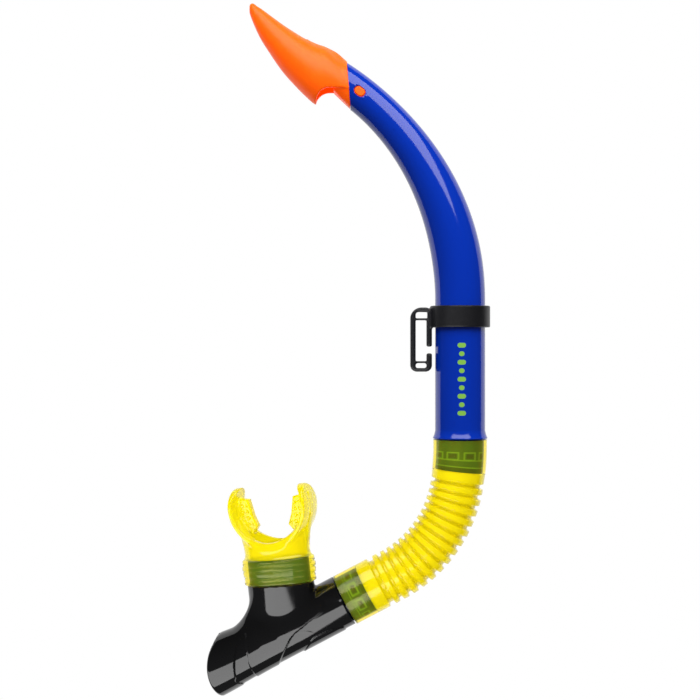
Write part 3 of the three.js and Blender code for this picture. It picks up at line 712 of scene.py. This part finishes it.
def hose_length(name, start, end, rows, mouth=None, tip=0.0, lug_at=0.0, lines=()):
    """One length of hose. A cuff's mouth is the distance at which it starts over a spigot of length tip."""
    s = np.linspace(start, end, rows)
    along = np.concatenate([s, s[::-1]])
    piece = carried(name, np.concatenate([hose_outside(s), hose_inside(s)[::-1]]), along, hose_line)
    for look in (free_silicone, cuff_silicone, cuff_bore):
        piece.data.materials.append(look)
    if mouth is not None:
        deep = np.abs(along - mouth)
        angle = np.arange(AROUND) * 2 * pi / AROUND
        tone = spigot_tone_with_highlights(deep[:, None], angle[None, :], lug_at, lines, tip)
        give_tone(piece, tone.ravel())
        kind = np.where(deep < tip + 0.3, np.where(np.arange(2 * rows) < rows - 1, 1, 2), 0)
        piece.data.polygons.foreach_set("material_index", np.repeat(kind, AROUND).astype(np.int32))
    return piece


def give_tone(piece, tone):
    """Stores the tone at each vertex."""
    layer = piece.data.attributes.new("spigot_tone_with_highlights", "FLOAT", "POINT")
    layer.data.foreach_set("value", tone.astype(np.float32))


first_hinge = FIRST_RIB + PITCH / 2
upper_cuff = hose_length("cuff_upper", 0.0, first_hinge - PITCH, 110, mouth=0.0, tip=17.0, lug_at=8.5,
                         lines=(10.7, 14.4))
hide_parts("hose_upper_cuff")
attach(upper_cuff, "hose_top")

BENDS, BEND_REACH = 7, 3.9  # each bend's reach to both sides of its hinge, which nothing in this script reads
for n in range(BENDS):
    hinge = first_hinge + 2 * PITCH * n
    length = hose_length(f"hose_length_{n + 1}", hinge - PITCH, hinge + PITCH, 85)
    if n < BENDS - 1:
        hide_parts(f"hose_segment_{n + 1}")
    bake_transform(length)

lower_cuff = hose_length("cuff_lower", first_hinge + 13 * PITCH, HOSE_END, 110, mouth=HOSE_END, tip=12.9,
                         lug_at=7.2, lines=(3.9,))
COUPLING_X, COUPLING_Z, _ = (float(v) for v in hose_line(HOSE_END))
SLOPE = radians(27.7)


def along_chamber(x, z):
    """Distance along the chamber's axis from the coupling, up the slope, and height square to it."""
    u = (x - COUPLING_X) * cos(SLOPE) + (z - COUPLING_Z) * sin(SLOPE)
    return u, -(x - COUPLING_X) * sin(SLOPE) + (z - COUPLING_Z) * cos(SLOPE)


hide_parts("hose_lower_cuff")
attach(lower_cuff, "hose_tail")

# ---------- chamber ----------
# Polished black plastic: a tube that falls away from the hose to the purge valve at its lowest point, with
# an oval neck for the mouthpiece. Low panels with stepped edges are moulded into its sides.
NECK_AT = 36.8  # from the coupling down to where the neck's axis meets the tube's
NECK_X, NECK_Z = COUPLING_X - NECK_AT * cos(SLOPE), COUPLING_Z - NECK_AT * sin(SLOPE)
LEAN, TURN = radians(6.2), radians(20)
PURGE_X, PURGE_Z, VALVE_Z = -90.1, -176.0, -174.5
TUBE_R, END_R = 14.5, 26.3  # the sloping tube, and the round of its closed end seen from the side
BORE_R, THROAT_R = 12.3, 9.9
STEP_WIDTH, STEP_DEPTH = 0.9, 0.55


def along_neck(x, y, z):
    """Height along the leaning neck, then the two directions of its turned oval."""
    t = (x - NECK_X) * -sin(LEAN) + (z - NECK_Z) * cos(LEAN)
    m = (x - NECK_X) * cos(LEAN) + (z - NECK_Z) * sin(LEAN)
    return t, m * cos(TURN) - y * sin(TURN), m * sin(TURN) + y * cos(TURN), m


def panel_steps(x, z):
    """How far the sides are set back between the raised panels: the distance past each stepped edge,
    seen from the side, turned to nought or one over the step's width."""
    body_edge = through(z, [-177.5, -173.6, -166.7, -159.0, -152.6, -146.3, -138.6, -131.5],
                        [-77.7, -76.7, -73.9, -69.6, -61.9, -54.2, -53.9, -54.6])
    foot_edge = through(z, [-170.2, -165.2, -161.0, -156.1], [-64.0, -61.2, -58.4, -47.2])
    cap_edge = through(z, [-187.0, -186.3, -182.0, -176.4, -170.8, -163.8, -158.6],
                       [-97.0, -99.1, -100.9, -101.5, -101.2, -99.8, -95.6])
    band_edge = through(z, [-183.2, -180.0, -175.1, -169.4, -164.0, -158.6],
                        [-89.7, -91.4, -93.5, -94.5, -95.4, -95.6])

    def over(d):
        return smooth(d / STEP_WIDTH + 0.5)

    u, _ = along_chamber(x, z)
    foot = over(x - foot_edge) * over(-156.3 - z + (x + 47) * 0.1) * over(-7.0 - u)
    right = over(x - body_edge) * (1 - foot) * over(-u - 0.6)
    pocket = over(x - cap_edge) * over(band_edge - x) * over(-158.6 - z)
    return np.maximum(right * over(-131.0 - z), pocket)


def chamber_depth(x, y, z):
    """The sloping tube, the neck's root and the neck, fused and stepped; then the two spigots with
    their rings and lugs; less the bores of the tube, neck and valve."""
    u, w = along_chamber(x, z)
    t, a, b, m = along_neck(x, y, z)
    swell = smooth((-50 - u) / 32)
    tube = np.hypot(y, w - 0.8 * swell) - TUBE_R - 1.7 * swell
    tube = keep(tube, u + 0.4, 0.5)
    end_face = np.hypot(x - PURGE_X, z - PURGE_Z) - END_R
    tube = keep(tube, np.where(u > -55, -5.0, end_face), 1.4)  # the end is rounded only past the neck
    fillet_a = through(t, [-8, 0, 5.3, 10.2, 16.6, 23.6], [24.0, 23.6, 22.0, 19.7, 17.4, 14.0])
    fillet_m = through(t, [-8, 0, 5.3, 10.2, 16.6, 23.6], [-7.4, -7.2, -5.2, -2.9, -0.9, -0.3])
    fillet_b = through(t, [-8, 0, 5, 10, 16, 23.6], [12.9, 12.9, 11.6, 9.6, 8.2, 7.0])
    root = keep(keep(oval(m - fillet_m, y, fillet_a, fillet_b), -t - 4, 2.0), t - 23, 2.0)
    neck = keep(oval(a, b, 19.1, 13.0), np.abs(t - 14) - 12.75, 0.5)
    body = fuse(fuse(tube, root, 2.4), neck, 2.6)
    body = body + STEP_DEPTH * panel_steps(x, z) * smooth((18 - t) / 4)
    spigot = keep(np.hypot(y, w) - 11.9 + 0.6 * smooth(u / 13), np.abs(u - 5.9) - 6.9, 0.4)
    to_ring = np.minimum(np.abs(u - 10.4), np.abs(u - 4.2)) - 0.45
    rings = keep(np.abs(np.hypot(y, w) - 11.4) - 0.65, to_ring, 0.2)
    lug = np.mod(np.arctan2(y, w), LUG_PITCH) - LUG_PITCH / 2
    lugs = rounded_box(lug * 11.4, u - 7.2, LUG_HALF_WIDE, LUG_HALF_HIGH, 0.3)
    lugs = keep(lugs, np.abs(np.hypot(y, w) - 11.5) - 0.6, 0.2)
    mouth = keep(oval(a, b, 16.7, 11.5), np.abs(t - 30) - 9.2, 0.5)
    body = np.minimum(np.minimum(body, spigot), np.minimum(np.minimum(rings, lugs), mouth))
    bore = keep(np.hypot(y, w) - BORE_R, np.abs(u + 34.75) - 33.25, 0.6)
    throat = keep(np.hypot(y, w) - THROAT_R, np.abs(u - 6) - 8.5, 0.3)
    neck_bore = keep(oval(a, b, 14.4, 9.4), np.abs(t - 22) - 20.0, 0.6)
    valve_bore = keep(np.hypot(y, z - VALVE_Z) - 11.8, np.abs(x + 104.0) - 6.0, 0.3)
    recess = keep(oval(y, z - PURGE_Z - 0.6, 12.55, 14.55), x - PURGE_X + 18.4, 0.3)
    hollow = np.minimum(np.minimum(bore, throat), np.minimum(np.minimum(neck_bore, valve_bore), recess))
    return carve(body, hollow, 0.3)


chamber = skin("chamber_body", chamber_depth, (-117, -17.5, -204), (-23, 17.5, -116), 0.54)
gloss_black = moulded_plastic("chamber_black", (0.0065, 0.0065, 0.007), 0.07, drift=0.04, bloom=0.03,
                              grain=380.0, relief=0.000002, IOR=1.58)
chamber.data.materials.append(gloss_black)
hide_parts("chamber")
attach(chamber, "lower_chamber")
flag_off([chamber], over_flag)

# ---------- mouthpiece ----------
# Soft clear yellow silicone: a grooved collar stretched over the neck's spigot, a lip shield that curves
# round behind the lips, and two bite tabs studded so that teeth grip them.
SHIELD_T, SHIELD_TOP, SHIELD_R = 69.6, 80.4, 21.55
COLLAR_TOP = 40.9
TAB = np.array([
    (22.3, 75.0), (13.6, 73.4), (11.8, 64.5), (9.6, 58.8), (12.8, 54.8), (19.0, 56.0), (22.3, 64.0),
])


def outline(u, v, corners):
    """Distance to a polygon: to the nearest point of each side, below nought where a ray crosses it oddly."""
    nearest, inside = np.inf, False
    for (ax, ay), (bx, by) in zip(corners, np.roll(corners, -1, axis=0)):
        ex, ey = bx - ax, by - ay
        share = np.clip(((u - ax) * ex + (v - ay) * ey) / (ex * ex + ey * ey), 0, 1)
        nearest = np.minimum(nearest, np.hypot(u - ax - share * ex, v - ay - share * ey))
        inside = inside ^ (((ay > v) != (by > v)) & (u < ax + (v - ay) * ex / (ey if ey else 1e-9)))
    return np.where(inside, -nearest, nearest)


def mouth_depth(x, y, z):
    """The collar and neck, the lip shield and the bite tabs fused, with the tabs' knobs, less the air
    passage. The shield is a round band about the neck's turned axis."""
    t, a, b, _ = along_neck(x, y, z)
    # The collar's rings: three grooves and a bead at each edge.
    rings = (0.6 * sum(np.exp(-(((t - at) / 0.42) ** 2)) for at in (31.0, 34.4, 37.6))
             - 0.35 * np.exp(-(((t - 28.0) / 0.9) ** 2)) - 0.45 * np.exp(-(((t - 40.2) / 0.7) ** 2)))
    knots = [27.1, 40.4, 41.6, 46.9, 51.0, 56.0, 62.0]
    neck = oval(a, b, through(t, knots, [20.2, 20.0, 19.3, 19.0, 19.8, 20.8, 21.6]),
                through(t, knots, [14.0, 13.8, 13.1, 12.4, 11.3, 10.3, 9.8])) + rings
    radius = np.hypot(a, t - SHIELD_T)
    neck = keep(keep(neck, 27.1 - t, 0.5), 20.2 - radius, 0.8)
    neck = keep(neck, t - 62.0, 0.5)
    face = rounded_box(b, t - SHIELD_TOP + 30.0, 10.3, 30.0, 10.2)
    thick = 1.75 - 0.6 * smooth((np.abs(b) - 5) / 5)
    shield = keep(np.abs(radius - SHIELD_R) - thick, face, 1.0)
    tabs = keep(outline(np.abs(a), t, TAB) - 0.5, np.abs(b) - 2.4, 1.1)
    knobs = np.hypot(np.mod(np.abs(a) - 15.5, 3.0) - 1.5, np.mod(t - 58.5, 3.4) - 1.7) - 0.95
    knobs = keep(keep(knobs, outline(np.abs(a), t, TAB) + 1.2, 0.3), np.abs(np.abs(b) - 2.3) - 0.75, 0.5)
    body = fuse(fuse(neck, shield, 2.6), tabs, 1.6)
    body = np.minimum(body, knobs)
    passage = oval(a, b, through(t, [39.3, 40.8, 48, 60], [17.0, 16.4, 16.3, 15.6]),
                   through(t, [39.3, 40.8, 48, 60], [11.8, 11.0, 9.9, 7.9]))
    return carve(body, keep(keep(passage, 20.0 - t, 0.3), 19.2 - radius, 0.3), 0.4)


mouthpiece = skin("mouth_silicone", mouth_depth, (-111, -18.5, -137), (-52, 18.5, -74), 0.42)
for look in (free_silicone, cuff_silicone, cuff_bore):
    mouthpiece.data.materials.append(look)
middle = np.empty(len(mouthpiece.data.polygons) * 3)
mouthpiece.data.polygons.foreach_get("center", middle)
t, a, b, _ = along_neck(*(middle.reshape(-1, 3).T / MM))
kind = np.where(t < COLLAR_TOP, np.where(oval(a, b, 17.8, 12.6) < 0, 2, 1), 0)
mouthpiece.data.polygons.foreach_set("material_index", kind.astype(np.int32))
give_tone(mouthpiece, np.full(len(mouthpiece.data.vertices), 0.5))
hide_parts("mouthpiece")
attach(mouthpiece, "lower_chamber")

# ---------- purge valve ----------
# A polished slatted cover clipped into the chamber's end, and behind it a ported seat with a milky
# silicone flap on a button stem, which lets water out and closes against the next breath in.


def disc_depth(x, y, z, near, far, r):
    """A flat round plate facing along X, on the valve's axis."""
    return rounded_box(x - (near + far) / 2, np.hypot(y, z - VALVE_Z), (far - near) / 2, r, 0.15)


def seat_depth(x, y, z):
    """A disc with five ports round a hole for the flap's stem."""
    angle = np.mod(np.arctan2(y, z - VALVE_Z), 2 * pi / 5) - pi / 5
    away = np.hypot(y, z - VALVE_Z)
    ports = np.hypot(away * np.cos(angle) - 6.4, away * np.sin(angle)) - 2.7
    disc = disc_depth(x, y, z, PURGE_X - 14.6, PURGE_X - 13.0, 11.45)
    return carve(disc, np.minimum(ports, away - 1.35), 0.3)


def flap_depth(x, y, z):
    """A thin disc, its stem, the bead that holds it in the seat and the boss at its middle."""
    dish = disc_depth(x, y, z, PURGE_X - 15.75, PURGE_X - 14.95, 10.3)
    stem = disc_depth(x, y, z, PURGE_X - 15.2, PURGE_X - 10.0, 1.0)
    bead = np.sqrt((x - PURGE_X + 10.3) ** 2 + y**2 + (z - VALVE_Z) ** 2) - 1.9
    boss = np.sqrt((x - PURGE_X + 15.2) ** 2 + y**2 + (z - VALVE_Z) ** 2) - 1.6
    return fuse(fuse(dish, stem, 0.5), np.minimum(bead, boss), 0.5)


def cover_depth(x, y, z):
    """An oval cut from a curved sheet, less level slots."""
    shell = np.abs(np.hypot(x - PURGE_X, z - PURGE_Z) - 25.2) - 0.8
    up = z - PURGE_Z - 0.6
    plate = keep(keep(shell, oval(y, up, 12.2, 14.2), 0.5), x - PURGE_X + 12, 0.5)
    slats = rounded_box(np.mod(up + 2.2, 4.4) - 2.2, y, 1.05, 9.4, 0.9)
    return carve(plate, keep(slats, oval(y, up, 9.6, 11.6), 0.3), 0.4)


milky_silicone = moulded_plastic("valve_clear", (0.74, 0.73, 0.69), 0.3, Transmission_Weight=0.45, IOR=1.4)
valve_low, valve_high = (-117, -13, -191.5), (-98, 13, -160.5)
for name, depth, step, swapped, slot, look, body in (
    ("purge_grille", cover_depth, 0.32, "purge_cover", "chamber_black", gloss_black, "lower_chamber"),
    ("valve_seat", seat_depth, 0.32, "purge_seat", "chamber_black", gloss_black, "lower_chamber"),
    ("valve_flap", flap_depth, 0.25, "purge_diaphragm", "valve_clear", milky_silicone, "purge_flap"),
):
    piece = skin(name, depth, valve_low, valve_high, step)
    piece.data.materials.append(look)
    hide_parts(swapped)
    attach(piece, body)
